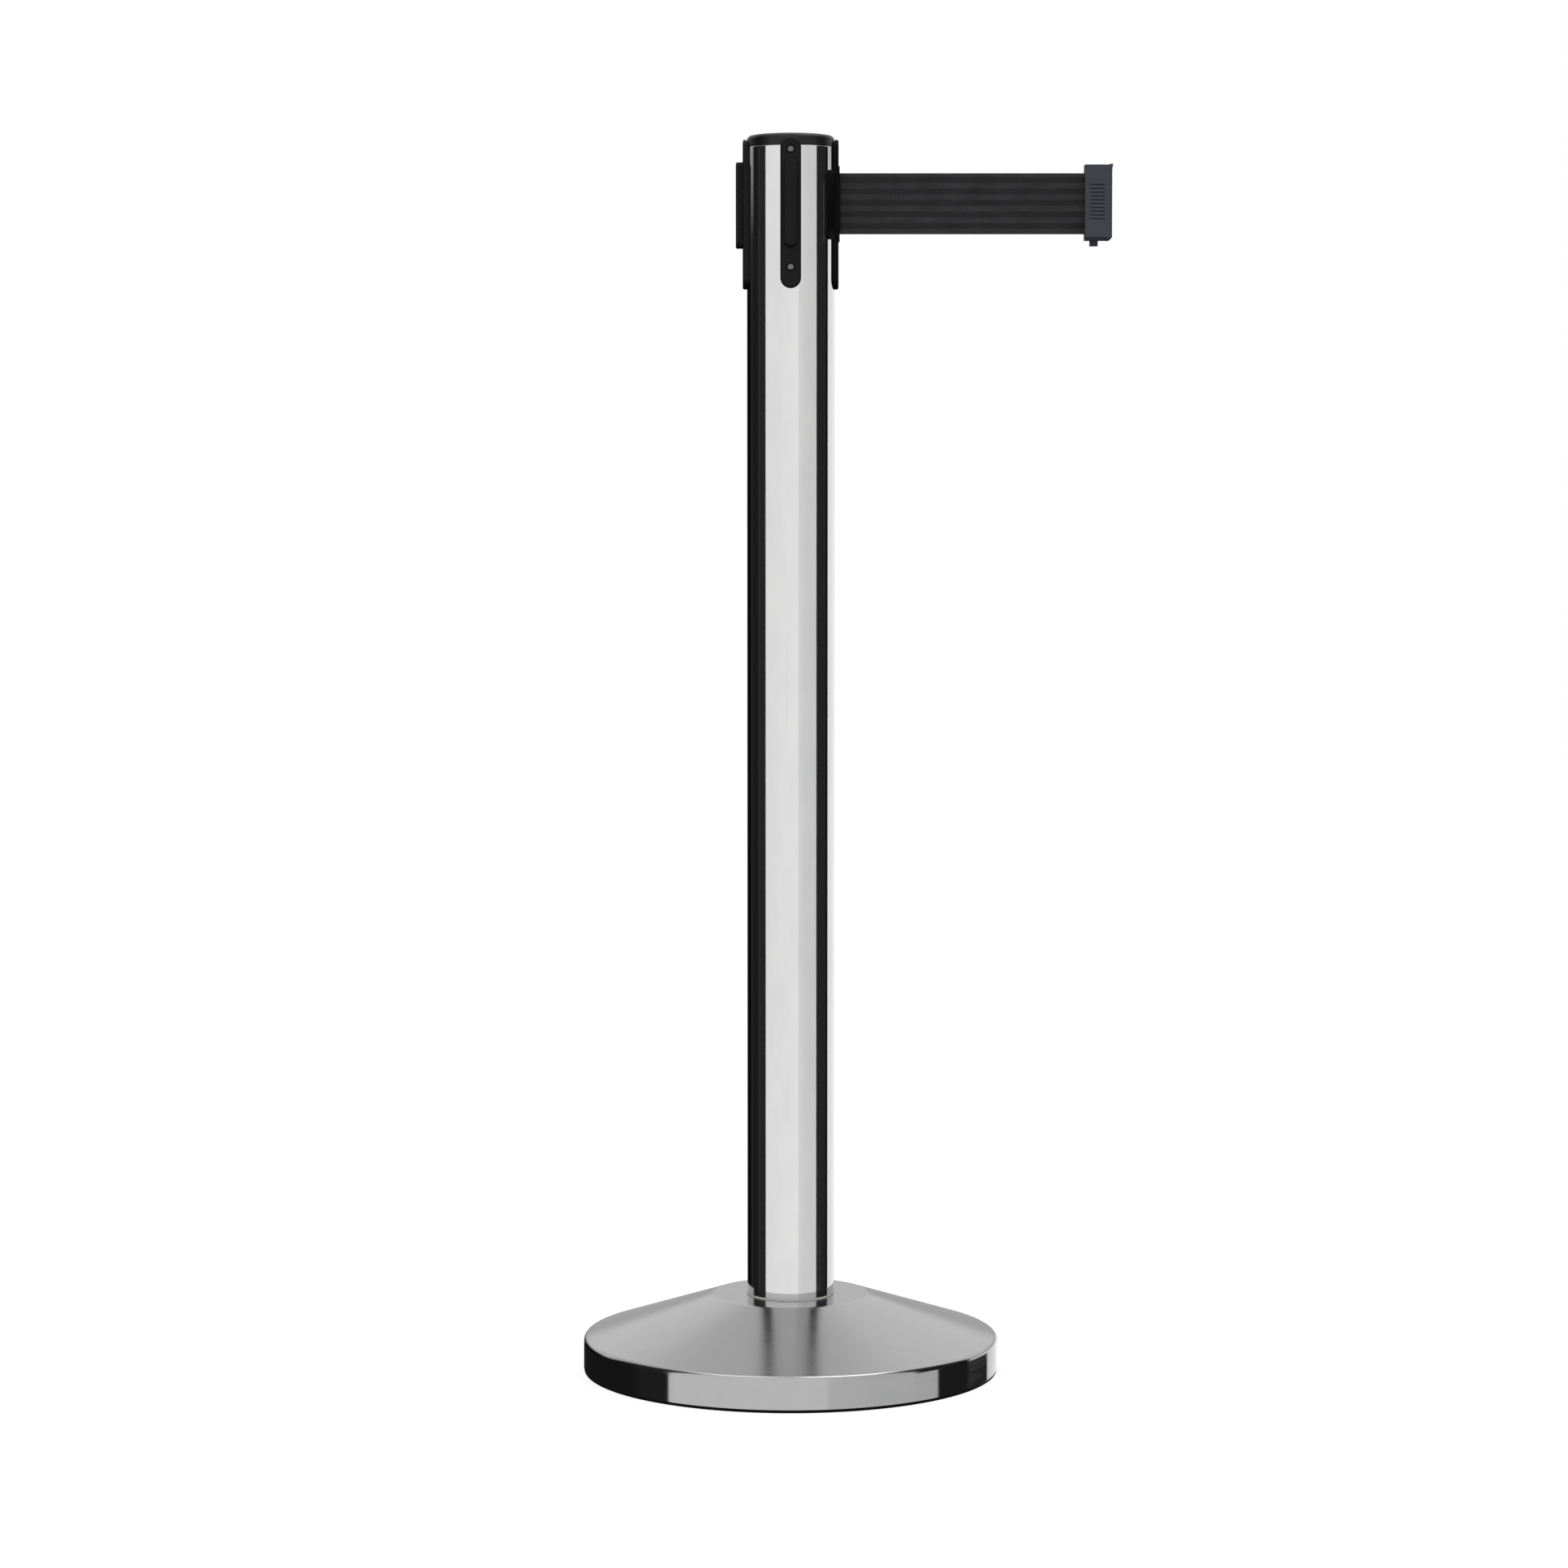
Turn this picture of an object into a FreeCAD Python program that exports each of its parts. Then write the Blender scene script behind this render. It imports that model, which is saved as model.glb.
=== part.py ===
import FreeCAD, Part
import math
import os

from FreeCAD import Vector

# Retractable belt stanchion. Millimetres, +Z up, origin on the floor on the post's axis.
# The belt leaves the post towards +X. The three receiver rails face -Y, -X and +Y.

# ---- driving dimensions ----
POST_R = 31.75
POST_WALL = 1.2
POST_FOOT_Z = 57.1
POST_TOP_Z = 895.4
FIT = 0.05

BASE_R = 152.2
COVER_T = 1.2
DISC_R = 57.5
DISC_Z = 56.3
RIM_TOP_Z = 25.2
RIM_BOTTOM_Z = 1.8
RIM_ROUND = 3.6
HEM_ROUND = 0.6
DISC_ROUND = 6.0
BOLT_HOLE_R = 7.0

WEIGHT_R = 143.5
WEIGHT_BOTTOM_Z = 3.0
WEIGHT_TOP_Z = 14.0
WEIGHT_ROUND = 3.0
HUB_R = 40.0
HUB_FOOT_Z = 48.0
SHOULDER_R = 62.0
SHOULDER_Z = 26.0
SHOULDER_ROUND = 8.0
RING_LEDGE = 5.5
RING_TONGUE_Z = 8.0
RING_ROUND = 0.8
BOLT_R = 6.0
BOLT_TOP_Z = 72.0
RECESS_R = 18.0
RECESS_TOP_Z = 18.0
WASHER_T = 2.5
BOLT_HEAD_H = 7.5
BOLT_FLATS = 18.0
GASKET_IN_R = 27.0
GASKET_PROUD = 0.2
PLUG_H = 20.0

CAP_R = 31.5
CAP_EDGE_Z = 903.35
CAP_ROUND = 3.0
CAP_DOME = (24.0, 904.75, 60.0)
CAP_TOP_Z = 905.7
CAP_ROOF_T = 3.6

PLATE_W = 15.0
PLATE_LOW_Z = 792.7
PLATE_HIGH_Z = 901.0
RECEIVER_FACE = 34.8
OUTLET_FACE = 34.8
PLATE_ROUND = 1.3
RAIL_W = 9.7
RAIL_LOW_Z = 822.2
RAIL_HIGH_Z = 884.8
RAIL_FACE = 39.8
RAIL_HEAD_T = 2.4
RAIL_ROUND = 1.2
NECK_INSET = 2.1

SCREW_ZS = (807.8, 892.2)
SCREW_SEAT = 32.9
SCREW_HEAD_R = 2.5
SCREW_HEAD_H = 1.3
SCREW_HEAD_ROUND = 0.9
SCREW_CROWN = 0.35
SCREW_R = 1.6
SCREW_TIP = 25.0
RECESS_HALF = 1.9
RECESS_FLOOR_HALF = 0.7
RECESS_DEPTH = 1.2
RECESS_BLADE = 0.8
SCREW_CLEAR_R = 2.0
COUNTERBORE_R = 3.4

BELT_T = 0.55
BELT_LOW_Z = 832.75
BELT_HIGH_Z = 876.9
BELT_LENGTH = 2000.0
BELT_OUT_X = 36.0
CLIP_X = 213.3

BEZEL_R = 33.2
BEZEL_HALF_W = 20.0
BEZEL_LOW_Z = 828.5
BEZEL_HIGH_Z = 878.4
BEZEL_CORNER = 4.0
LIP_HALF_W = 3.5
LIP_LOW_Z = 827.0
LIP_HIGH_Z = 881.9
LIP_ROUND = 0.6
LIP_FACE = 35.6
SLOT_HALF_W = 1.7
SLOT_HALF_H = 22.6
SNOUT_HALF_W = 4.2
SNOUT_X = 29.6
SNOUT_WALL = 1.5
WINDOW_GAP_Y = 0.2
WINDOW_GAP_Z = 0.4
WALL_CUT_X = (20.0, 50.0)

FRAME_R = 30.25
LOWER_PLATE_Z = 813.5
UPPER_PLATE_Z = 880.6
PLATE_T = 3.0
COLLAR_LOW_Z = 801.5
COLLAR_IN_R = 24.0
PILLAR_R = 2.0
PILLAR_AT_R = 27.8
PILLAR_ANGLES = (60, 180, 300)
AXLE_R = 3.0
AXLE_LOW_Z = 805.5
AXLE_HIGH_Z = 888.1
E_CLIP_R = 5.0
E_CLIP_T = 0.8
ARBOR_R = 5.5
ARBOR_TOP_Z = 829.0

CORE_R = 11.0
FLANGE_R = 23.3
FLANGE_T = 2.0
DRUM_LOW_Z = 829.9
DRUM_HIGH_Z = 879.8
CUP_LOW_Z = 816.7
CUP_WALL = 1.5
BUSH_R = 6.0
BUSH_L = 8.0
BUSH_RUNNING = 0.06
SPRING_T = 0.35
SPRING_TURNS = 9

ROLLER_X = 26.5
ROLLER_R = 2.4
ROLLER_PIN_R = 1.0
ROLLER_GAP = 0.125

CLIP_END_X = 233.1
CLIP_STEP_X = 231.7
CLIP_TURN_X = 228.0
CLIP_LOW_Z = 828.1
CLIP_HIGH_Z = 882.85
CLIP_HALF_T = 7.5
CLIP_LEAN = 0.7
CLIP_STEP = 1.5
CLIP_EDGE = 0.6
CLIP_STEP_EDGE = 0.3
CLIP_BEVEL_H = 2.4
CLIP_BEVEL_D = 2.0
CLIP_CORNER_X = 2.2
CLIP_CORNER_Z = 3.0
CLIP_CUT = 10.0
STOP_OUT = 0.6
STOP_UP = 0.7
STOP_H = 4.2
CHAMBER_X = (215.3, 226.4)
CHAMBER_Z = (831.1, 878.0)
CHAMBER_HALF_T = 5.5
BELT_PIN_X = 218.0
BELT_PIN_R = 1.6
HEAD_SLOT_X = (228.0, 230.7)
HEAD_SLOT_HALF = 5.2
NECK_SLOT_HALF = 3.1
SLOT_TOP_Z = 878.4
GRIP_X = (215.6, 227.5)
GRIP_LOW_Z = 842.24
GRIP_PITCH = 2.725
GRIP_COUNT = 10
GRIP_H = 1.9
GRIP_DEPTH = 0.9
GRIP_LIP = 0.55
GRIP_RUN_IN = 2.6
CLIP_SCREW_X = 223.5
CLIP_SCREW_ZS = (857.5, 872.5)
RIB_Z = (849.6, 851.6)

TAB_X = (217.1, 223.0)
TAB_HALF_T = 2.6
TAB_LOW_Z = 824.0
TAB_TRAVEL = 2.0
TAB_SLOT_W = 1.05
TAB_WEB_HALF = 0.8
BLOCK_X = (220.7, 225.4)
BLOCK_Z = (831.2, 836.2)
TAB_SPRING_X = 223.1

UP = Vector(0, 0, 1)
ORIGIN = Vector(0, 0, 0)


# ---- small shape helpers ----
def disc(r, z0, z1, x=0.0, y=0.0):
    return Part.makeCylinder(r, z1 - z0, Vector(x, y, z0), UP)


def ring(r_in, r_out, z0, z1, x=0.0, y=0.0):
    return disc(r_out, z0, z1, x, y).cut(disc(r_in, z0 - 1, z1 + 1, x, y))


def block(x0, x1, y0, y1, z0, z1):
    return Part.makeBox(x1 - x0, y1 - y0, z1 - z0, Vector(x0, y0, z0))


def prism(points, direction):
    corners = [Vector(*p) for p in points]
    wire = Part.makePolygon(corners + corners[:1])
    return Part.Face(wire).extrude(Vector(*direction))


def corner_arc(before, corner, after, radius):
    """Where an arc of this radius starts, its middle and where it ends, in a corner of an outline."""
    back = before.sub(corner).normalize()
    ahead = after.sub(corner).normalize()
    half = back.getAngle(ahead) / 2
    reach = radius / math.tan(half)
    middle = back.add(ahead).normalize()
    dip = radius / math.sin(half) - radius
    return corner.add(back * reach), corner.add(middle * dip), corner.add(ahead * reach)


def turned(outline):
    """A solid of revolution about Z. The outline is closed, of (radius, height, corner radius)."""
    corners = [Vector(r, 0, z) for r, z, _ in outline]
    edges = []
    ends = []
    for i, (_, _, round_r) in enumerate(outline):
        if not round_r:
            ends.append((corners[i], corners[i]))
            continue
        before = corners[i - 1]
        after = corners[(i + 1) % len(corners)]
        start, middle, end = corner_arc(before, corners[i], after, round_r)
        edges.append(Part.Arc(start, middle, end).toShape())
        ends.append((start, end))
    for i in range(len(ends)):
        start = ends[i][1]
        end = ends[(i + 1) % len(ends)][0]
        if start.distanceToPoint(end) > 1e-6:
            edges.append(Part.LineSegment(start, end).toShape())
    wire = Part.Wire(Part.__sortEdges__(edges))
    return Part.Face(wire).revolve(ORIGIN, UP, 360)


def stadium(x0, x1, width, z0, z1, round_r=0.0):
    """A block with semicircular ends, from x0 out to x1, its outer edge rounded."""
    r = width / 2
    body = block(x0, x1, -r, r, z0 + r, z1 - r)
    for z in (z0 + r, z1 - r):
        body = body.fuse(Part.makeCylinder(r, x1 - x0, Vector(x0, 0, z), Vector(1, 0, 0)))
    body = body.removeSplitter()
    return rounded_face(body, x1, round_r) if round_r else body


def rounded_face(body, x, radius):
    """Rounds every edge that lies in the plane at this x."""
    near = [e for e in body.Edges if abs(e.BoundBox.XMin - x) < 1e-4 and abs(e.BoundBox.XMax - x) < 1e-4]
    return body.makeFillet(radius, near)


def about_post(shape, degrees):
    copy = shape.copy()
    copy.rotate(ORIGIN, UP, degrees)
    return copy


def group(shapes):
    return Part.makeCompound(shapes)


# ---- base ----
def cover_height(r):
    """Height of the cover's outer cone at a radius."""
    slope = (DISC_Z - RIM_TOP_Z) / (BASE_R - DISC_R)
    return DISC_Z - slope * (r - DISC_R)


def base_cover():
    slope = (DISC_Z - RIM_TOP_Z) / (BASE_R - DISC_R)
    drop = COVER_T * math.hypot(1, slope)
    inner_r = BASE_R - COVER_T
    under_z = DISC_Z - COVER_T
    bend_r = DISC_R - (drop - COVER_T) / slope
    return turned([
        (BOLT_HOLE_R, DISC_Z, 0),
        (DISC_R, DISC_Z, DISC_ROUND),
        (BASE_R, RIM_TOP_Z, RIM_ROUND),
        (BASE_R, RIM_BOTTOM_Z, HEM_ROUND),
        (inner_r, RIM_BOTTOM_Z, 0),
        (inner_r, cover_height(inner_r) - drop, RIM_ROUND - COVER_T),
        (bend_r, under_z, DISC_ROUND - COVER_T),
        (BOLT_HOLE_R, under_z, 0),
    ])


def base_weight():
    hub_z = DISC_Z - COVER_T
    return turned([
        (BOLT_HOLE_R, RECESS_TOP_Z, 0),
        (BOLT_HOLE_R, hub_z, 0),
        (HUB_R, hub_z, 0),
        (HUB_R, HUB_FOOT_Z, 0),
        (SHOULDER_R, SHOULDER_Z, SHOULDER_ROUND),
        (WEIGHT_R, WEIGHT_TOP_Z, WEIGHT_ROUND),
        (WEIGHT_R, WEIGHT_BOTTOM_Z, 0),
        (RECESS_R, WEIGHT_BOTTOM_Z, 0),
        (RECESS_R, RECESS_TOP_Z, 0),
    ])


def floor_ring():
    ledge_r = WEIGHT_R - RING_LEDGE
    out_r = BASE_R - 0.3
    tongue_out = BASE_R - COVER_T - 0.2
    tongue_in = WEIGHT_R + 0.3
    return turned([
        (ledge_r, 0, RING_ROUND),
        (out_r, 0, RING_ROUND),
        (out_r, RIM_BOTTOM_Z, 0),
        (tongue_out, RIM_BOTTOM_Z, 0),
        (tongue_out, RING_TONGUE_Z, 0),
        (tongue_in, RING_TONGUE_Z, 0),
        (tongue_in, WEIGHT_BOTTOM_Z, 0),
        (ledge_r, WEIGHT_BOTTOM_Z, 0),
    ])


def base_bolt():
    head_z = RECESS_TOP_Z - WASHER_T - BOLT_HEAD_H
    across = BOLT_FLATS / math.sqrt(3)
    corners = [
        (across * math.cos(math.radians(60 * i)), across * math.sin(math.radians(60 * i)), head_z)
        for i in range(6)
    ]
    head = prism(corners, (0, 0, BOLT_HEAD_H))
    shank = disc(BOLT_R, head_z + BOLT_HEAD_H, BOLT_TOP_Z)
    return head.fuse(shank).removeSplitter()


def base_washer():
    return ring(BOLT_R + 0.5, RECESS_R - 2, RECESS_TOP_Z - WASHER_T, RECESS_TOP_Z)


def foot_gasket():
    return ring(GASKET_IN_R, POST_R + GASKET_PROUD, DISC_Z, POST_FOOT_Z)


def post_plug():
    return ring(BOLT_R + FIT, POST_R - POST_WALL - FIT, POST_FOOT_Z, POST_FOOT_Z + PLUG_H)


# ---- post and cap ----
def screw_holes(radius, heights=SCREW_ZS):
    """Radial holes for the plates' screws, on all four sides."""
    x0, x1 = WALL_CUT_X
    one_side = [Part.makeCylinder(radius, x1 - x0, Vector(x0, 0, z), Vector(1, 0, 0)) for z in heights]
    return [about_post(hole, 90 * i) for hole in one_side for i in range(4)]


def post_tube():
    wall = turned([
        (POST_R - POST_WALL, POST_FOOT_Z, 0),
        (POST_R, POST_FOOT_Z, 0.4),
        (POST_R, POST_TOP_Z, 0.5),
        (POST_R - POST_WALL, POST_TOP_Z, 0),
    ])
    half = SNOUT_HALF_W + WINDOW_GAP_Y
    low, high = snout_heights()
    window = block(*WALL_CUT_X, -half, half, low - WINDOW_GAP_Z, high + WINDOW_GAP_Z)
    return wall.cut(screw_holes(SCREW_CLEAR_R) + [window])


def top_cap():
    spigot_r = POST_R - POST_WALL - 0.25
    spigot_z = UPPER_PLATE_Z + PLATE_T
    roof_z = CAP_TOP_Z - CAP_ROOF_T
    body = turned([
        (0, roof_z, 0),
        (COLLAR_IN_R, roof_z, 2.0),
        (COLLAR_IN_R, spigot_z, 0),
        (spigot_r, spigot_z, 0.6),
        (spigot_r, POST_TOP_Z, 0),
        (CAP_R, POST_TOP_Z, 0.3),
        (CAP_R, CAP_EDGE_Z, CAP_ROUND),
        CAP_DOME,
        (0, CAP_TOP_Z, 0),
    ])
    return body.cut(screw_holes(SCREW_R + FIT, SCREW_ZS[1:]))


# ---- receivers, outlet and their screws ----
def screwed_plate(face):
    """The stadium plate that every side of the post's head carries, with its two counterbored holes."""
    plate = stadium(26, face, PLATE_W, PLATE_LOW_Z, PLATE_HIGH_Z, PLATE_ROUND)
    cuts = [disc(POST_R + FIT, PLATE_LOW_Z - 5, PLATE_HIGH_Z + 5)]
    for z in SCREW_ZS:
        at = Vector(20, 0, z)
        cuts.append(Part.makeCylinder(SCREW_CLEAR_R, 30, at, Vector(1, 0, 0)))
        seat = Vector(SCREW_SEAT, 0, z)
        cuts.append(Part.makeCylinder(COUNTERBORE_R, 10, seat, Vector(1, 0, 0)))
    return plate.cut(cuts)


def receiver():
    """A plate with the T-shaped rail that another post's clip hooks over, facing +X."""
    head_x = RAIL_FACE - RAIL_HEAD_T
    neck = stadium(SCREW_SEAT, head_x + 0.5, RAIL_W - 2 * NECK_INSET, RAIL_LOW_Z, RAIL_HIGH_Z)
    head = stadium(head_x, RAIL_FACE, RAIL_W, RAIL_LOW_Z, RAIL_HIGH_Z, RAIL_ROUND)
    return screwed_plate(RECEIVER_FACE).fuse([neck, head]).removeSplitter()


def bezel():
    """The wide band round the belt's slot, wrapped on the tube."""
    r = BEZEL_CORNER
    half = BEZEL_HALF_W
    outline = block(*WALL_CUT_X, -half, half, BEZEL_LOW_Z, BEZEL_HIGH_Z)
    along = [e for e in outline.Edges if e.BoundBox.XLength > 1]
    outline = outline.makeFillet(r, along)
    return ring(POST_R + FIT, BEZEL_R, BEZEL_LOW_Z - 1, BEZEL_HIGH_Z + 1).common(outline)


def snout_heights():
    """Bottom and top of the tongue that carries the slot through the tube's wall."""
    belt_mid = (BELT_LOW_Z + BELT_HIGH_Z) / 2
    half = SLOT_HALF_H + SNOUT_WALL
    return (belt_mid - half, belt_mid + half)


def belt_outlet():
    lip = block(POST_R + FIT, LIP_FACE, -LIP_HALF_W, LIP_HALF_W, LIP_LOW_Z, LIP_HIGH_Z)
    lip = rounded_face(lip, LIP_FACE, LIP_ROUND)
    low, high = snout_heights()
    snout = block(SNOUT_X, BEZEL_R, -SNOUT_HALF_W, SNOUT_HALF_W, low, high)
    slot = block(*WALL_CUT_X, -SLOT_HALF_W, SLOT_HALF_W, low + SNOUT_WALL, high - SNOUT_WALL)
    body = screwed_plate(OUTLET_FACE).fuse([bezel(), lip, snout])
    return body.cut(slot).removeSplitter()


def plate_screw(z):
    """A pan-head cross-recessed machine screw, its head towards +X."""
    top = SCREW_HEAD_H + SCREW_CROWN
    screw = turned([
        (0, SCREW_TIP - SCREW_SEAT, 0),
        (SCREW_R, SCREW_TIP - SCREW_SEAT, 0.3),
        (SCREW_R, 0, 0),
        (SCREW_HEAD_R, 0, 0),
        (SCREW_HEAD_R, SCREW_HEAD_H, SCREW_HEAD_ROUND),
        (0, top, 0),
    ])
    half = RECESS_BLADE / 2
    corners = [
        (-RECESS_HALF, -half, top),
        (RECESS_HALF, -half, top),
        (RECESS_FLOOR_HALF, -half, top - RECESS_DEPTH),
        (-RECESS_FLOOR_HALF, -half, top - RECESS_DEPTH),
    ]
    blade = prism(corners, (0, RECESS_BLADE, 0))
    screw = screw.cut([blade, about_post(blade, 90)])
    screw.rotate(ORIGIN, Vector(0, 1, 0), 90)
    screw.translate(Vector(SCREW_SEAT, 0, z))
    return screw


def plate_screws():
    return group([about_post(plate_screw(z), 90 * i) for i in range(4) for z in SCREW_ZS])


# ---- belt cassette in the top of the tube ----
def frame_holes(z0, z1):
    """Holes in a frame plate for the axle and the two guide pins."""
    pins = [disc(ROLLER_PIN_R, z0, z1, ROLLER_X, y) for y in roller_ys()]
    return pins + [disc(AXLE_R, z0, z1)]


def roller_ys():
    offset = ROLLER_R + BELT_T / 2 + ROLLER_GAP
    return (offset, -offset)


def frame_lower_plate():
    floor = disc(FRAME_R, LOWER_PLATE_Z - PLATE_T, LOWER_PLATE_Z)
    collar = ring(COLLAR_IN_R, FRAME_R, COLLAR_LOW_Z, LOWER_PLATE_Z)
    holes = screw_holes(SCREW_R + FIT, SCREW_ZS[:1])
    return floor.fuse(collar).removeSplitter().cut(holes + frame_holes(COLLAR_LOW_Z, LOWER_PLATE_Z + 1))


def frame_upper_plate():
    top = UPPER_PLATE_Z + PLATE_T
    return disc(FRAME_R, UPPER_PLATE_Z, top).cut(frame_holes(UPPER_PLATE_Z - 1, top + 1))


def frame_pillars():
    one = disc(PILLAR_R, LOWER_PLATE_Z, UPPER_PLATE_Z, PILLAR_AT_R)
    return group([about_post(one, angle) for angle in PILLAR_ANGLES])


def e_clip_heights():
    low = LOWER_PLATE_Z - PLATE_T - E_CLIP_T
    return (low, UPPER_PLATE_Z + PLATE_T)


def drum_axle():
    grooves = [ring(AXLE_R - 0.5, AXLE_R + 1, z, z + E_CLIP_T) for z in e_clip_heights()]
    return disc(AXLE_R, AXLE_LOW_Z, AXLE_HIGH_Z).cut(grooves)


def axle_e_clips():
    clips = []
    for z in e_clip_heights():
        mouth = block(0, 9, -1.8, 1.8, z - 1, z + 2)
        clips.append(ring(AXLE_R - 0.5, E_CLIP_R, z, z + E_CLIP_T).cut(mouth))
    return group(clips)


def spring_arbor():
    return ring(AXLE_R, ARBOR_R, LOWER_PLATE_Z, ARBOR_TOP_Z)


def thrust_washer():
    return ring(AXLE_R + 0.1, ARBOR_R, ARBOR_TOP_Z, DRUM_LOW_Z - 0.1)


def guide_pins():
    low = LOWER_PLATE_Z - PLATE_T
    high = UPPER_PLATE_Z + PLATE_T
    return group([disc(ROLLER_PIN_R, low, high, ROLLER_X, y) for y in roller_ys()])


def guide_roller(y):
    return ring(ROLLER_PIN_R + 0.05, ROLLER_R, LOWER_PLATE_Z + 0.2, UPPER_PLATE_Z - 0.2, ROLLER_X, y)


def belt_drum():
    core = disc(CORE_R, DRUM_LOW_Z, DRUM_HIGH_Z)
    lower = disc(FLANGE_R, DRUM_LOW_Z, DRUM_LOW_Z + FLANGE_T)
    upper = disc(FLANGE_R, DRUM_HIGH_Z - FLANGE_T, DRUM_HIGH_Z)
    cup = ring(FLANGE_R - CUP_WALL, FLANGE_R, CUP_LOW_Z, DRUM_LOW_Z + 0.5)
    bore = disc(BUSH_R, CUP_LOW_Z, DRUM_HIGH_Z + 1)
    return core.fuse([lower, upper, cup]).removeSplitter().cut(bore)


def drum_bushes():
    lows = (DRUM_LOW_Z + 0.2, DRUM_HIGH_Z - BUSH_L - 0.2)
    return group([ring(AXLE_R + BUSH_RUNNING, BUSH_R, z, z + BUSH_L) for z in lows])


def spiral(start_r, pitch, turns):
    """Edges of a flat spiral of half circles, which meet smoothly on the X axis."""
    edges = []
    for k in range(2 * turns):
        side = 1 if k % 2 == 0 else -1
        here = side * (start_r + k * pitch / 2)
        there = -side * (start_r + (k + 1) * pitch / 2)
        centre = (here + there) / 2
        top = side * abs(here - there) / 2
        arc = Part.Arc(Vector(here, 0, 0), Vector(centre, top, 0), Vector(there, 0, 0))
        edges.append(arc.toShape())
    return edges


def return_spring():
    """The clock spring in the drum's cup, a flat strip wound between the arbor and the cup."""
    start_r = ARBOR_R + 0.4
    end_r = FLANGE_R - CUP_WALL - 0.3 - SPRING_T
    pitch = (end_r - start_r) / SPRING_TURNS
    inner = spiral(start_r, pitch, SPRING_TURNS)
    outer = spiral(start_r + SPRING_T, pitch, SPRING_TURNS)
    ends = [
        Part.LineSegment(Vector(r, 0, 0), Vector(r + SPRING_T, 0, 0)).toShape()
        for r in (start_r, start_r + pitch * SPRING_TURNS)
    ]
    wire = Part.Wire(Part.__sortEdges__(inner + outer + ends))
    strip = Part.Face(wire).extrude(Vector(0, 0, ARBOR_TOP_Z - CUP_LOW_Z - 1.0))
    strip.translate(Vector(0, 0, CUP_LOW_Z + 0.8))
    return strip


# ---- belt ----
def coil_radius():
    """Outer radius of the belt that is still wound on the drum."""
    wound = BELT_LENGTH - (CLIP_X - BELT_OUT_X)
    return math.sqrt(CORE_R ** 2 + wound * BELT_T / math.pi)


def belt_coil():
    return ring(CORE_R, coil_radius(), BELT_LOW_Z, BELT_HIGH_Z)


def belt_lead():
    """The belt from the coil, round the guide roller and out to the slot's mouth."""
    coil_mid = coil_radius() + BELT_T / 2 + 0.05
    roller_y = roller_ys()[0]
    bend_mid = roller_y
    away = math.hypot(ROLLER_X, roller_y)
    angle = math.atan2(roller_y, ROLLER_X) + math.acos((coil_mid + bend_mid) / away)
    radial = Vector(math.cos(angle), math.sin(angle), 0)
    roller = Vector(ROLLER_X, roller_y, 0)
    half = BELT_T / 2
    sides = []
    for off in (-half, half):
        leave = radial * (coil_mid + off)
        meet = roller.sub(radial * (bend_mid - off))
        swing = (angle + math.pi + 1.5 * math.pi) / 2
        middle = roller.add(Vector(math.cos(swing), math.sin(swing), 0) * (bend_mid - off))
        exit_y = roller_y - (bend_mid - off)
        turn = Vector(ROLLER_X, exit_y, 0)
        out = Vector(BELT_OUT_X, exit_y, 0)
        sides.append((leave, meet, middle, turn, out))
    edges = []
    for leave, meet, middle, turn, out in sides:
        edges.append(Part.LineSegment(leave, meet).toShape())
        edges.append(Part.Arc(meet, middle, turn).toShape())
        edges.append(Part.LineSegment(turn, out).toShape())
    edges.append(Part.LineSegment(sides[0][0], sides[1][0]).toShape())
    edges.append(Part.LineSegment(sides[0][4], sides[1][4]).toShape())
    strip = Part.Face(Part.Wire(Part.__sortEdges__(edges)))
    strip = strip.extrude(Vector(0, 0, BELT_HIGH_Z - BELT_LOW_Z))
    strip.translate(Vector(0, 0, BELT_LOW_Z))
    return strip


def belt_strap():
    """The belt outside the post, sewn in a loop round the clip's pin."""
    half = BELT_T / 2
    loop_in = BELT_PIN_R + FIT
    loop = ring(loop_in, loop_in + BELT_T, BELT_LOW_Z, BELT_HIGH_Z, BELT_PIN_X)
    run = block(BELT_OUT_X, BELT_PIN_X - loop_in - half, -half, half, BELT_LOW_Z, BELT_HIGH_Z)
    return run.fuse(loop).removeSplitter()


# ---- clip ----
def upright_edges(body, x, y):
    """The body's long vertical edges at this x and at this distance from the belt's plane."""
    return [
        e for e in body.Edges
        if e.BoundBox.ZLength > 40 and e.BoundBox.XLength < 1e-4
        and abs(e.BoundBox.XMin - x) < 1e-4 and abs(abs(e.BoundBox.YMin) - y) < 1e-4
    ]


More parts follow.
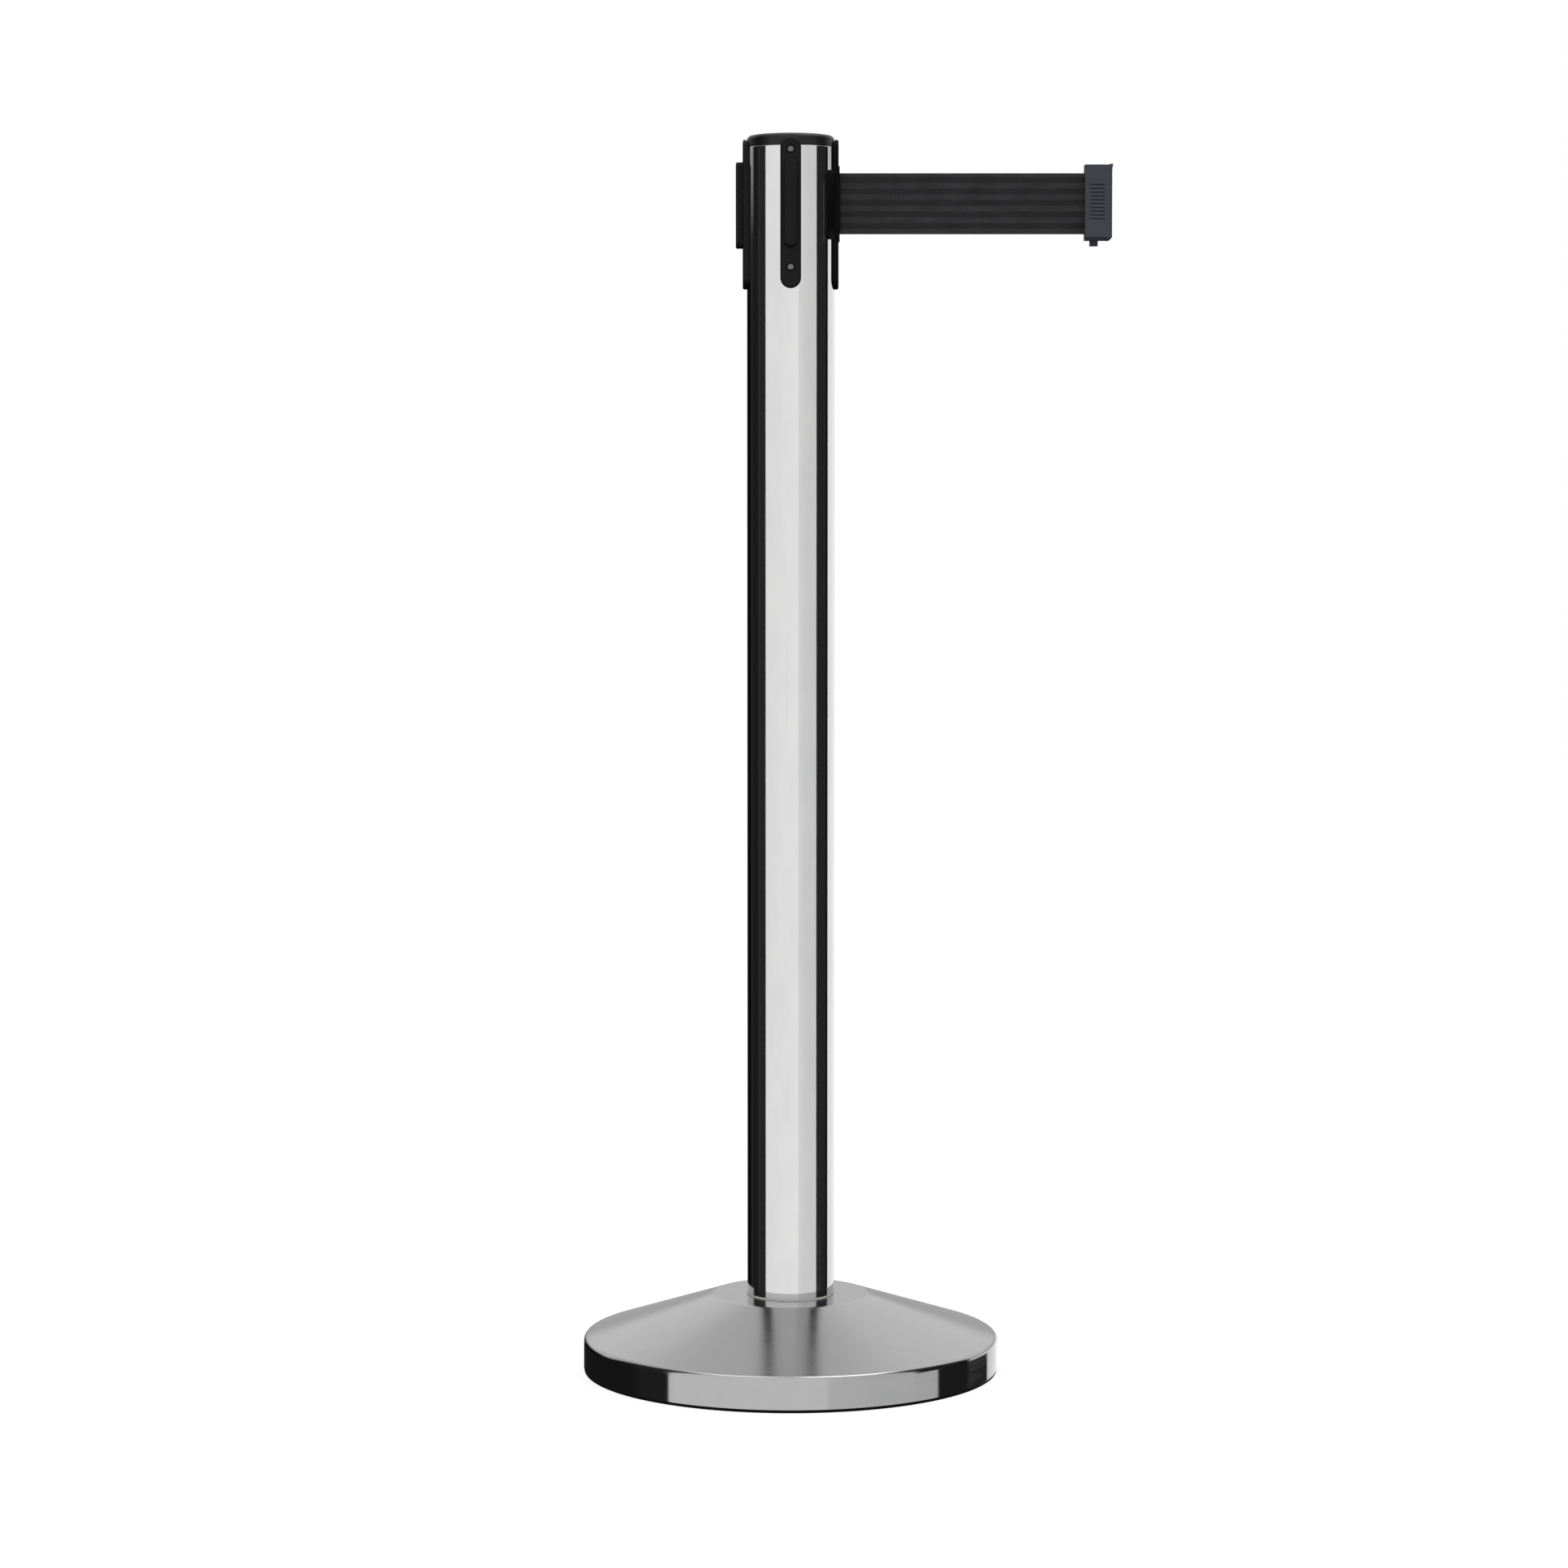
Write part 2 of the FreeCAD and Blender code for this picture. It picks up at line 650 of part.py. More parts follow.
def clip_outside():
    half = CLIP_HALF_T
    lean = half - CLIP_LEAN
    step = half - CLIP_STEP
    outline = [
        (CLIP_X, half),
        (CLIP_TURN_X, half),
        (CLIP_STEP_X, lean),
        (CLIP_STEP_X, step),
        (CLIP_END_X, step),
    ]
    outline += [(x, -y) for x, y in reversed(outline)]
    body = prism([(x, y, CLIP_LOW_Z) for x, y in outline], (0, 0, CLIP_HIGH_Z - CLIP_LOW_Z))
    body = body.makeFillet(CLIP_EDGE, upright_edges(body, CLIP_X, half))
    sharp = upright_edges(body, CLIP_STEP_X, lean) + upright_edges(body, CLIP_END_X, step)
    body = body.makeFillet(CLIP_STEP_EDGE, sharp)
    start = CLIP_X - CLIP_CUT
    bevel_z = CLIP_LOW_Z + CLIP_BEVEL_H
    foot_y = half - CLIP_BEVEL_D
    side = [
        (start, -half, bevel_z),
        (start, -foot_y, CLIP_LOW_Z),
        (start, foot_y, CLIP_LOW_Z),
        (start, half, bevel_z),
        (start, half, CLIP_HIGH_Z),
        (start, -half, CLIP_HIGH_Z),
    ]
    body = body.common(prism(side, (CLIP_END_X + CLIP_CUT - start, 0, 0)))
    corner = [
        (CLIP_END_X - CLIP_CORNER_X, -CLIP_CUT, CLIP_LOW_Z - 0.1),
        (CLIP_END_X + 1, -CLIP_CUT, CLIP_LOW_Z - 0.1),
        (CLIP_END_X + 1, -CLIP_CUT, CLIP_LOW_Z + CLIP_CORNER_Z),
    ]
    body = body.cut(prism(corner, (0, 2 * CLIP_CUT, 0)))
    top = [e for e in body.Edges if e.BoundBox.ZMin > CLIP_HIGH_Z - 1e-3]
    body = body.makeFillet(CLIP_STEP_EDGE, top)
    stop_z = CLIP_HIGH_Z + STOP_UP
    hook = [
        (CLIP_STEP_X - 0.2, -step, stop_z - 0.2),
        (CLIP_END_X + STOP_OUT, -step, stop_z),
        (CLIP_END_X, -step, stop_z - STOP_H),
        (CLIP_STEP_X - 0.2, -step, stop_z - STOP_H),
    ]
    return body.fuse(prism(hook, (0, 2 * step, 0))).removeSplitter()


def grip_groove(z):
    """One finger groove in the face at -Y, deepest under its upper lip and run out towards the belt."""
    x0, x1 = GRIP_X
    face = -CLIP_HALF_T - 0.02
    floor = face + GRIP_DEPTH
    high_z = z + GRIP_H
    section = [(x0, face, z), (x0, face, high_z), (x0, floor, high_z - GRIP_LIP)]
    trough = prism(section, (x1 - x0, 0, 0))
    run_in = [(x0, face, z), (x1, face, z), (x1, floor, z), (x0 + GRIP_RUN_IN, floor, z)]
    return trough.common(prism(run_in, (0, 0, GRIP_H)))


def clip_cavities():
    """What is hollow in the closed clip: belt chamber, rail slot, tab openings and grip grooves."""
    x0, x1 = CHAMBER_X
    z0, z1 = CHAMBER_Z
    half = CHAMBER_HALF_T
    tab_wall = TAB_HALF_T + 0.3
    belt_mouth_z0 = BELT_LOW_Z - 0.3
    pin_z0 = z0 + 0.1
    block_x0 = BLOCK_X[0] - 0.3
    under = CLIP_LOW_Z - CLIP_CUT
    cuts = [
        block(block_x0, x1, -half, half, z0, RIB_Z[0]),
        block(x0, block_x0, -half, half, BELT_LOW_Z - 0.2, RIB_Z[1]),
        block(x0, x1, -half, half, RIB_Z[1], z1),
        block(CLIP_X - 1, x0 + 1, -0.8, 0.8, belt_mouth_z0, BELT_HIGH_Z + 0.5),
        disc(BELT_PIN_R + FIT, pin_z0, SLOT_TOP_Z + 0.8, BELT_PIN_X),
        block(HEAD_SLOT_X[0], HEAD_SLOT_X[1], -HEAD_SLOT_HALF, HEAD_SLOT_HALF, under, SLOT_TOP_Z),
        block(HEAD_SLOT_X[1] - 0.1, CLIP_END_X + 1, -NECK_SLOT_HALF, NECK_SLOT_HALF, under, SLOT_TOP_Z),
        block(TAB_X[0] - 0.3, TAB_X[1] + 0.3, -tab_wall, tab_wall, under, z0 - 0.5),
        block(block_x0, TAB_X[1] + 0.5, -tab_wall, tab_wall, under, z0 + 0.5),
        block(x1 - 0.5, HEAD_SLOT_X[0] + 0.5, -1.9, 1.9, BLOCK_Z[0] + 0.6, BLOCK_Z[1] + TAB_TRAVEL + 0.6),
    ]
    for i in range(GRIP_COUNT):
        groove = grip_groove(GRIP_LOW_Z + i * GRIP_PITCH)
        cuts += [groove, groove.mirror(ORIGIN, Vector(0, 1, 0))]
    return cuts


def along_y(radius, y0, y1, z):
    return Part.makeCylinder(radius, y1 - y0, Vector(CLIP_SCREW_X, y0, z), Vector(0, 1, 0))


def clip_closed():
    bosses = [along_y(2.4, -CHAMBER_HALF_T - 0.5, CHAMBER_HALF_T + 0.5, z) for z in CLIP_SCREW_ZS]
    return clip_outside().cut(clip_cavities()).fuse(bosses).removeSplitter()


def clip_side(closed, y0, y1):
    """What of the closed clip lies between these distances from the belt's plane."""
    x0, x1 = CLIP_X - CLIP_CUT, CLIP_END_X + CLIP_CUT
    return closed.common(block(x0, x1, y0, y1, CLIP_LOW_Z - CLIP_CUT, CLIP_HIGH_Z + CLIP_CUT))


def clip_front_shell(closed):
    half = clip_side(closed, -CLIP_CUT, 0)
    return half.cut([along_y(1.0 + FIT, -4.5, 1, z) for z in CLIP_SCREW_ZS])


def clip_back_shell(closed):
    half = clip_side(closed, 0, CLIP_CUT)
    holes = [along_y(1.2, -1, CLIP_CUT, z) for z in CLIP_SCREW_ZS]
    seats = [along_y(2.0, CLIP_HALF_T - 1.5, CLIP_CUT, z) for z in CLIP_SCREW_ZS]
    return half.cut(holes + seats)


def clip_screws():
    screws = []
    for z in CLIP_SCREW_ZS:
        head = along_y(1.9, CLIP_HALF_T - 1.5, CLIP_HALF_T - 0.2, z)
        shank = along_y(1.0, -4.3, CLIP_HALF_T - 1.5, z)
        top = CLIP_HALF_T - 0.2
        wide = block(CLIP_SCREW_X - 1.2, CLIP_SCREW_X + 1.2, top - 0.7, top + 1, z - 0.25, z + 0.25)
        tall = block(CLIP_SCREW_X - 0.25, CLIP_SCREW_X + 0.25, top - 0.7, top + 1, z - 1.2, z + 1.2)
        screws.append(head.fuse(shank).removeSplitter().cut([wide, tall]))
    return group(screws)


def belt_pin():
    return disc(BELT_PIN_R, CHAMBER_Z[0] + 0.2, SLOT_TOP_Z + 0.6, BELT_PIN_X)


def release_tab():
    """The forked foot under the clip, with the sprung block that grips the rail through the slot's wall."""
    x0, x1 = TAB_X
    half = TAB_HALF_T
    foot = block(x0, x1, -half, half, TAB_LOW_Z, CLIP_LOW_Z + 0.2)
    ends = [e for e in foot.Edges if e.BoundBox.ZMax < TAB_LOW_Z + 1e-3 and e.BoundBox.YLength > 3]
    foot = foot.makeFillet(0.4, ends)
    bar_w = (x1 - x0 - 2 * TAB_SLOT_W) / 3
    slots = []
    for i in range(2):
        left = x0 + bar_w + i * (bar_w + TAB_SLOT_W)
        for y0, y1 in ((-half - 1, -TAB_WEB_HALF), (TAB_WEB_HALF, half + 1)):
            slots.append(block(left, left + TAB_SLOT_W, y0, y1, TAB_LOW_Z - 1, CLIP_LOW_Z - 0.5))
    stem = block(BLOCK_X[0], x1, -half, half, CLIP_LOW_Z, BLOCK_Z[0])
    carrier = block(BLOCK_X[0], BLOCK_X[1], -half, half, BLOCK_Z[0], BLOCK_Z[1])
    nose_x = HEAD_SLOT_X[0] + 0.25
    nose = prism(
        [
            (BLOCK_X[1] - 0.5, -1.5, BLOCK_Z[0] + 1),
            (nose_x - 1.2, -1.5, BLOCK_Z[0] + 1),
            (nose_x, -1.5, BLOCK_Z[0] + 2.5),
            (nose_x, -1.5, BLOCK_Z[1]),
            (BLOCK_X[1] - 0.5, -1.5, BLOCK_Z[1]),
        ],
        (0, 3, 0),
    )
    peg = disc(1.2, BLOCK_Z[1] - 0.5, BLOCK_Z[1] + 3.4, TAB_SPRING_X)
    return foot.cut(slots).fuse([stem, carrier, nose, peg]).removeSplitter()


def tab_spring():
    wire_r = 0.25
    mean_r = 1.85
    low = BLOCK_Z[1] + wire_r
    high = RIB_Z[0] - wire_r
    turns = 6
    path = Part.makeHelix((high - low) / turns, high - low, mean_r)
    path.translate(Vector(TAB_SPRING_X, 0, low))
    start = Vector(TAB_SPRING_X + mean_r, 0, low)
    section = Part.Wire(Part.makeCircle(wire_r, start, Vector(0, 1, 0)))
    return Part.Wire(path.Edges).makePipeShell([section], True, True)


def all_nodes():
    closed = clip_closed()
    side = receiver()
    return {
        "floor_ring": floor_ring(),
        "base_weight": base_weight(),
        "base_cover": base_cover(),
        "base_bolt": base_bolt(),
        "base_washer": base_washer(),
        "foot_gasket": foot_gasket(),
        "post_plug": post_plug(),
        "post_tube": post_tube(),
        "top_cap": top_cap(),
        "receiver_front": about_post(side, -90),
        "receiver_left": about_post(side, 180),
        "receiver_back": about_post(side, 90),
        "belt_outlet": belt_outlet(),
        "plate_screws": plate_screws(),
        "frame_lower_plate": frame_lower_plate(),
        "frame_upper_plate": frame_upper_plate(),
        "frame_pillars": frame_pillars(),
        "drum_axle": drum_axle(),
        "axle_e_clips": axle_e_clips(),
        "spring_arbor": spring_arbor(),
        "thrust_washer": thrust_washer(),
        "guide_pins": guide_pins(),
        "guide_roller_a": guide_roller(roller_ys()[0]),
        "guide_roller_b": guide_roller(roller_ys()[1]),
        "belt_drum": belt_drum(),
        "drum_bushes": drum_bushes(),
        "return_spring": return_spring(),
        "belt_coil": belt_coil(),
        "belt_lead": belt_lead(),
        "belt_strap": belt_strap(),
        "clip_front_shell": clip_front_shell(closed),
        "clip_back_shell": clip_back_shell(closed),
        "clip_screws": clip_screws(),
        "belt_pin": belt_pin(),
        "release_tab": release_tab(),
        "tab_spring": tab_spring(),
    }


def main():
    os.makedirs("parts", exist_ok=True)
    for name, shape in all_nodes().items():
        if not shape.isValid():
            raise ValueError(name + " is not a valid shape")
        shape.exportStep("parts/" + name + ".step")
        print(f"{name}: {len(shape.Solids)} solid, {shape.Volume:.1f} mm3")


main()
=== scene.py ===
import math

import bmesh
import bpy
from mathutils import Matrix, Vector


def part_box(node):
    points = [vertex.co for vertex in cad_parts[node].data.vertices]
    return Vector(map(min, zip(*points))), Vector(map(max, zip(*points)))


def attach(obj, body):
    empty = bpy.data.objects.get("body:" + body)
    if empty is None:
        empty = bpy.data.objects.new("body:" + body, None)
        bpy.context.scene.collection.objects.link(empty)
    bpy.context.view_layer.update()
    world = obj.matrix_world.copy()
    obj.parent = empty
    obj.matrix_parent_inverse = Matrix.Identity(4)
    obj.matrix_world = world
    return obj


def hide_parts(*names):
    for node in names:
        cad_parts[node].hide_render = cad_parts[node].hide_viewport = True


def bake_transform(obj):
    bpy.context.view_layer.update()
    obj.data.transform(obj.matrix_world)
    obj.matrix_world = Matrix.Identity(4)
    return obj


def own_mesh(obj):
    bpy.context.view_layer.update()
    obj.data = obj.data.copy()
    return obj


# Looks of the belt stanchion. Metres, +Z up, the CAD model's own frame. The belt leaves towards +X.
MM = 0.001

# ---- camera ----
CAMERA_AT = (-0.0048, -3.2, 0.685)
CAMERA_DOWN_DEG = 3.515
CAMERA_LENS_MM = 100.655
CAMERA_SHIFT_Y = -0.04886

# ---- studio ----
FLOOR_HALF = 6.0
LAMP_X = 0.86
LAMP_Y = 0.16
LAMP_Z = 2.88
LAMP_AIM = (0, 0, 0.87)
LAMP_SIZE = 1.4

# ---- turned pieces, in mm as in the CAD model ----
STEPS = 256
HOLE_STEPS = 48
ARC_STEP_DEG = 6.0
GUARD = 0.12
SHARP_DEG = 30.0

TUBE_R = 31.75
TUBE_BORE_R = 30.55
TUBE_FOOT_Z = 57.1
TUBE_TOP_Z = 895.4
TUBE_LEVELS = (62, 788, 800, 815, 828, 881, 887, 890)
WINDOW_HALF_Y = 4.4
WINDOW_LOW_Z = 830.325
WINDOW_HIGH_Z = 879.325
LOW_SCREW_Z = 807.8
HIGH_SCREW_Z = 892.2
TUBE_HOLE_R = 2.0
CAP_HOLE_R = 1.65

SHEET_T = 1.2
DISC_R = 57.5
DISC_Z = 56.3
DISC_ROUND = 6.0
RIM_R = 152.2
RIM_TOP_Z = 25.2
RIM_LOW_Z = 1.8
RIM_ROUND = 3.6
BOLT_HOLE_R = 7.0

CAP_R = 31.5
CAP_SKIRT_R = 30.3
CAP_BORE_R = 24.0
CAP_LOW_Z = 883.6
CAP_CEILING_Z = 902.1
CAP_EDGE_Z = 903.35
CAP_EDGE_ROUND = 3.0
SHOULDER_R = 24.0
SHOULDER_Z = 904.75
SHOULDER_ROUND = 60.0
CAP_TOP_Z = 905.7

RING_R = 151.9
RING_HOLE_R = 138.0
RING_EDGE = 0.8
RING_FLOOR_Z = 3.0
LIP_R = 150.8
LIP_HOLE_R = 143.8
LIP_Z = 8.0

# ---- belt ----
WEB_T = 0.55 * MM
SELVEDGE_R = 0.26 * MM
BAND_PITCH = 8.32 * MM
BAND_FIRST = 0.77 * MM
BAND_W = 4.05 * MM
BAND_RAISE = 0.05 * MM
RIB_PITCH = 1.45 * MM
PICK_PITCH = 0.62 * MM
TWILL_PITCH = 0.95 * MM
TWILL_LEAN = 2.6 * MM
HERRINGBONE = 2.4 * MM
FACE_STEPS = 150
STRAIGHT_STEPS = 150
LOOP_STEPS = 28
PIN_X = 218.0 * MM
PIN_R = 1.6 * MM
PIN_GAP = 0.05 * MM
LOOP_TIP = 3.9 * MM

# ---- spring above the release tab ----
SPRING_WIRE_R = 0.25 * MM
SPRING_TURNS = 6
TURN_STEPS = 32
WIRE_STEPS = 10


def make_camera():
    data = bpy.data.cameras.new("camera")
    data.sensor_width = 36
    data.lens = CAMERA_LENS_MM
    data.shift_y = CAMERA_SHIFT_Y
    camera = bpy.data.objects.new("camera", data)
    camera.location = CAMERA_AT
    camera.rotation_euler = (math.radians(90 - CAMERA_DOWN_DEG), 0, 0)
    bpy.context.scene.collection.objects.link(camera)
    bpy.context.scene.camera = camera


class Nodes:
    """Short calls for building a node tree."""

    def __init__(self, tree):
        self.tree = tree

    def add(self, kind, *inputs, **settings):
        """A node with these settings. An input is (its name or number, a value or a socket)."""
        node = self.tree.nodes.new("ShaderNode" + kind)
        for name, value in settings.items():
            setattr(node, name, value)
        for key, value in inputs:
            if isinstance(value, bpy.types.NodeSocket):
                self.tree.links.new(value, node.inputs[key])
            else:
                node.inputs[key].default_value = value
        return node

    def math(self, operation, a, b=0.0):
        return self.add("Math", (0, a), (1, b), operation=operation).outputs[0]

    def scaled(self, vector, scale):
        node = self.add("VectorMath", (0, vector), (1, scale), operation="MULTIPLY")
        return node.outputs[0]

    def noise(self, vector, scale=1.0, detail=2.0, roughness=0.5):
        inputs = (("Vector", vector), ("Scale", scale), ("Detail", detail), ("Roughness", roughness))
        return self.add("TexNoise", *inputs).outputs[0]

    def ramp(self, factor, stops):
        """A colour ramp. A stop is (place, grey) or (place, (r, g, b))."""
        node = self.add("ValToRGB", (0, factor))
        elements = node.color_ramp.elements
        while len(elements) < len(stops):
            elements.new(0.5)
        for element, (place, value) in zip(elements, stops):
            element.position = place
            element.color = (*rgb(value), 1)
        return node.outputs[0]

    def mix(self, factor, a, b):
        """A colour between a and b."""
        node = self.add("Mix", (0, factor), (6, rgba(a)), (7, rgba(b)), data_type="RGBA")
        return node.outputs[2]

    def remap(self, value, low, high, to_low=0.0, to_high=1.0, smooth=False):
        node = self.add("MapRange", (0, value), (1, low), (2, high), (3, to_low), (4, to_high))
        if smooth:
            node.interpolation_type = "SMOOTHSTEP"
        return node.outputs[0]

    def axes(self, vector):
        return self.add("SeparateXYZ", (0, vector)).outputs

    def point(self, x=0.0, y=0.0, z=0.0):
        return self.add("CombineXYZ", (0, x), (1, y), (2, z)).outputs[0]


def rgb(value):
    return (value, value, value) if isinstance(value, (int, float)) else tuple(value)


def rgba(value):
    return value if isinstance(value, bpy.types.NodeSocket) else (*rgb(value), 1)


# ---- studio ----
def studio_world():
    """A white studio with dark flags at two sides, which polished metal mirrors as upright bands."""
    world = bpy.data.worlds.new("studio")
    world.use_nodes = True
    bpy.context.scene.world = world
    n = Nodes(world.node_tree)
    direction = n.add("TexCoord").outputs["Generated"]
    x, y, z = n.axes(direction)
    turn = n.math("ARCTAN2", x, n.math("MULTIPLY", y, -1.0))
    around = n.remap(turn, -math.pi, math.pi)

    def sweep(stops):
        """Greys around the post. A stop is (degrees from -Y towards +X, grey)."""
        return n.ramp(around, [((degrees + 180) / 360, value) for degrees, value in stops])

    upright = sweep([
        (-180, 0.003), (-131, 0.004), (-126, 0.046), (-121.5, 0.017), (-98, 0.017), (-92, 0.043),
        (-86, 0.028), (-70.2, 0.028), (-69.4, 1.115), (-40, 1.13), (19.5, 1.19), (21.5, 1.0), (30, 0.974),
        (42, 0.92), (60, 0.9), (72.1, 0.9), (72.9, 0.026), (105, 0.026), (109, 0.01), (116.4, 0.01),
        (117.2, 1.12), (180, 1.15),
    ])
    lower = sweep([
        (-180, 0.014), (-115, 0.016), (-98, 0.018), (-91, 0.028), (-71.4, 0.028), (-70.8, 1.14),
        (19.5, 1.16), (21.5, 0.98), (60, 0.93), (88.6, 0.9), (89.4, 0.024), (120, 0.024), (141.6, 0.01),
        (142.4, 1.1), (180, 1.1),
    ])
    above, below = -0.1995, -0.2015
    bands = n.mix(n.remap(z, above, below), upright, lower)
    slant = n.math("SUBTRACT", z, n.math("MULTIPLY", x, 0.288))
    ring = n.ramp(z, [(0.05, 0.5), (0.15, 0.5), (0.23, 0.95), (0.5, 1.03), (1.0, 1.08)])
    dome = n.mix(n.remap(slant, 0.59, 0.71, smooth=True), ring, 0.8)
    sideways = n.math("ABSOLUTE", turn)
    behind = n.remap(sideways, math.radians(114), math.radians(121))
    raised = n.math("MULTIPLY", behind, n.remap(z, 0.045, 0.07))
    far_behind = n.remap(sideways, math.radians(164), math.radians(169))
    rear = n.math("MULTIPLY", far_behind, n.remap(z, below, above))
    over = n.mix(n.math("MAXIMUM", raised, rear), bands, dome)
    crown = n.mix(n.remap(z, 0.86, 0.97, smooth=True), over, 0.8)
    sunk = n.mix(n.remap(z, -0.24, -0.45), crown, 0.03)
    seen = n.add("LightPath").outputs["Is Camera Ray"]
    shown = n.mix(seen, sunk, 1.0)
    background = world.node_tree.nodes["Background"]
    world.node_tree.links.new(shown, background.inputs["Color"])


def make_floor():
    mesh = bpy.data.meshes.new("floor")
    half = FLOOR_HALF
    corners = [(-half, -half, 0), (half, -half, 0), (half, half, 0), (-half, half, 0)]
    mesh.from_pydata(corners, [], [(0, 1, 2, 3)])
    floor = bpy.data.objects.new("floor", mesh)
    bpy.context.scene.collection.objects.link(floor)
    floor.visible_glossy = False
    floor.visible_diffuse = False
    paper = Finish("white_floor", 0.3, 0.9)
    paper.set("Emission Color", (1, 1, 1, 1))
    paper.set("Emission Strength", 0.78)
    paper.set("Specular IOR Level", 0.0)
    paper.put(floor)


def soft_light(name, place, aim, size, power):
    data = bpy.data.lights.new(name, "AREA")
    data.size = size
    data.energy = power
    lamp = bpy.data.objects.new(name, data)
    lamp.location = place
    toward = [a - b for a, b in zip(aim, place)]
    lamp.rotation_mode = "QUATERNION"
    lamp.rotation_quaternion = Vector(toward).to_track_quat("-Z", "Y")
    bpy.context.scene.collection.objects.link(lamp)


# ---- finishes ----
class Finish(Nodes):
    """A procedural material: one Principled shader, and the nodes that feed it."""

    def __init__(self, name, colour, roughness, metallic=0.0, specular=0.5):
        self.material = bpy.data.materials.new(name)
        self.material.use_nodes = True
        super().__init__(self.material.node_tree)
        self.shader = self.tree.nodes["Principled BSDF"]
        self.set("Base Color", (*rgb(colour), 1))
        self.set("Roughness", roughness)
        self.set("Metallic", metallic)
        self.set("Specular IOR Level", specular)
        self.place = self.add("TexCoord").outputs["Object"]
        self.normal = None

    def set(self, name, value):
        if isinstance(value, bpy.types.NodeSocket):
            self.tree.links.new(value, self.shader.inputs[name])
        else:
            self.shader.inputs[name].default_value = value

    def bump(self, height, distance):
        """Adds relief of this height, in metres, on top of what is there."""
        inputs = [("Height", height), ("Distance", distance), ("Strength", 1.0)]
        if self.normal is not None:
            inputs.append(("Normal", self.normal))
        self.normal = self.add("Bump", *inputs).outputs[0]
        self.set("Normal", self.normal)

    def put(self, *objects):
        for o in objects:
            o.data.materials.clear()
            o.data.materials.append(self.material)


def polished_tube():
    """Mirror-polished steel with fine draw lines along the tube and a few faint rubs."""
    f = Finish("polished_tube", 0.62, 0.05, metallic=1.0)
    lines = f.noise(f.scaled(f.place, (1400, 1400, 9)), detail=3)
    hairs = f.noise(f.scaled(f.place, (5200, 5200, 40)), detail=1)
    rubs = f.noise(f.scaled(f.place, (60, 60, 22)), detail=4, roughness=0.6)
    pits = f.noise(f.scaled(f.place, (420, 420, 300)), detail=2)
    tone = f.mix(f.remap(rubs, 0.35, 0.7), (0.635, 0.635, 0.63), (0.6, 0.602, 0.605))
    f.set("Base Color", f.mix(f.remap(lines, 0.62, 0.8, 0, 0.5), tone, (0.52, 0.52, 0.525)))
    smear = f.remap(rubs, 0.4, 0.75, 0.035, 0.075)
    f.set("Roughness", f.math("ADD", smear, f.remap(hairs, 0.55, 0.8, 0, 0.06)))
    f.bump(lines, 0.0015 * MM)
    f.bump(pits, 0.006 * MM)
    return f


def spun_cover():
    """Polished steel, pressed and spun, so its fine lines run round the post."""
    f = Finish("spun_cover", 0.4, 0.07, metallic=1.0)
    x, y, z = f.axes(f.place)
    radius = f.add("VectorMath", (0, f.point(x, y)), operation="LENGTH").outputs["Value"]
    wander = f.noise(f.place, scale=18, detail=2)
    along = f.math("ADD", radius, f.math("MULTIPLY", wander, 0.0004))
    rings = f.noise(f.point(f.math("MULTIPLY", along, 2300), f.math("MULTIPLY", z, 2300), 0.0), detail=3)
    coarse = f.noise(f.point(f.math("MULTIPLY", along, 420), f.math("MULTIPLY", z, 420), 3.0), detail=2)
    rubs = f.noise(f.place, scale=45, detail=5, roughness=0.65)
    tone = f.mix(f.remap(rubs, 0.35, 0.7), (0.4, 0.4, 0.398), (0.385, 0.387, 0.389))
    f.set("Base Color", f.mix(f.remap(rings, 0.6, 0.8, 0, 0.6), tone, (0.355, 0.355, 0.358)))
    satin = f.math("ADD", f.remap(coarse, 0.3, 0.7, 0.045, 0.08), f.remap(rubs, 0.55, 0.8, 0, 0.05))
    duller = f.remap(z, 0.0215, 0.0255, 0, 0.13)
    f.set("Roughness", f.math("ADD", satin, duller))
    f.bump(rings, 0.0012 * MM)
    f.bump(coarse, 0.003 * MM)
    return f


def moulded(name, colour, roughness, specular, light=1.1):
    """Moulded plastic with a fine spark-eroded grain, flow marks and slightly shinier rubbed spots."""
    f = Finish(name, colour, roughness, specular=specular)
    fine = f.noise(f.place, scale=2400, detail=2)
    flow = f.noise(f.scaled(f.place, (90, 90, 35)), detail=4, roughness=0.6)
    dust = f.noise(f.place, scale=900, detail=3, roughness=0.7)
    pale = tuple(c * light for c in rgb(colour))
    deep = tuple(c * 0.94 for c in rgb(colour))
    tone = f.mix(f.remap(flow, 0.35, 0.7), deep, pale)
    specks = tuple(c * 1.4 + 0.003 for c in rgb(colour))
    f.set("Base Color", f.mix(f.remap(dust, 0.66, 0.8, 0, 0.5), tone, specks))
    f.set("Roughness", f.remap(flow, 0.3, 0.7, roughness - 0.04, roughness + 0.05))
    f.bump(fine, 0.02 * MM)
    return f


def worked_metal(name, colour, roughness, grain, relief, stain=None):
    """Bare or plated metal with its tool marks and a thin stain."""
    f = Finish(name, colour, roughness, metallic=1.0)
    marks = f.noise(f.place, scale=grain, detail=3)
    cloud = f.noise(f.place, scale=140, detail=4, roughness=0.6)
    other = stain or tuple(c * 0.72 for c in rgb(colour))
    f.set("Base Color", f.mix(f.remap(cloud, 0.42, 0.72, 0, 0.8), rgb(colour), other))
    f.set("Roughness", f.remap(marks, 0.3, 0.7, roughness - 0.07, roughness + 0.1))
    f.bump(marks, relief * MM)
    return f


